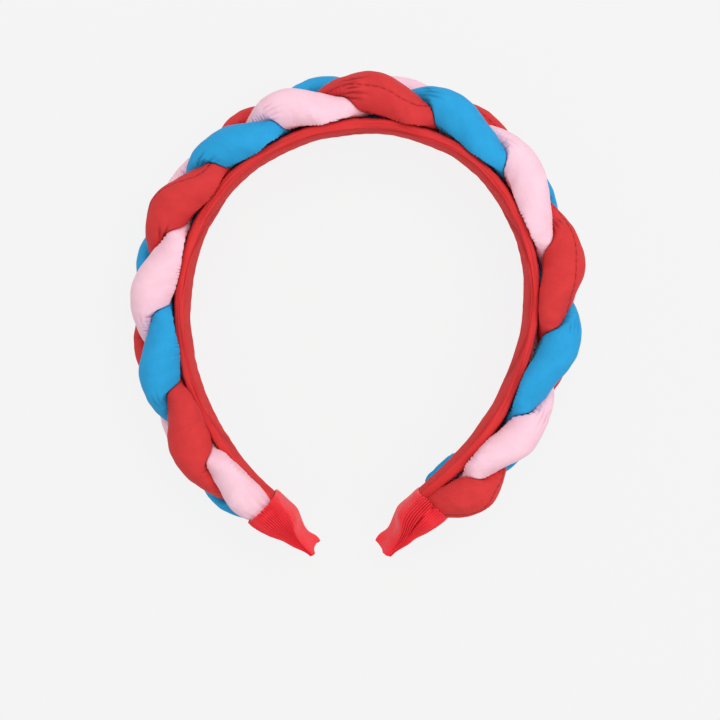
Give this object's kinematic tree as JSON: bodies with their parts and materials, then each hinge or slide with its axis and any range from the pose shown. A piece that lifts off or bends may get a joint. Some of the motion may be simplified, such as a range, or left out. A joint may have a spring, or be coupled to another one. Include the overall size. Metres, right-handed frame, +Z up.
{
  "type": "braided headband",
  "caption": "Padded headband: plump pink, red and blue fabric strands braided over a curved satin-covered band, with ribbed ribbon wrapped round its tips.",
  "frame": {"origin": "on the floor, in the middle of the hollow that the head goes through", "axes": "the band lies on its side: +Z up through the head hollow and across the band, +Y from the open ends towards the crown, +X across the two legs"},
  "size_m": [0.1686, 0.1802, 0.0371],
  "materials": {
    "band_satin": "red satin with a soft sheen",
    "fabric_pink": "matt pale pink woven fabric, padded",
    "fabric_red": "matt red woven fabric, padded, with a running-stitch seam",
    "fabric_blue": "matt sky-blue woven fabric, padded",
    "ribbed_ribbon": "bright red grosgrain ribbon with lengthwise ribs"
  },
  "bodies": {
    "root": {"inner_band": "band_satin", "strand_pink": "fabric_pink", "strand_red": "fabric_red", "strand_blue": "fabric_blue", "end_wrap_left": "ribbed_ribbon", "end_wrap_right": "ribbed_ribbon"}
  },
  "joints": []
}
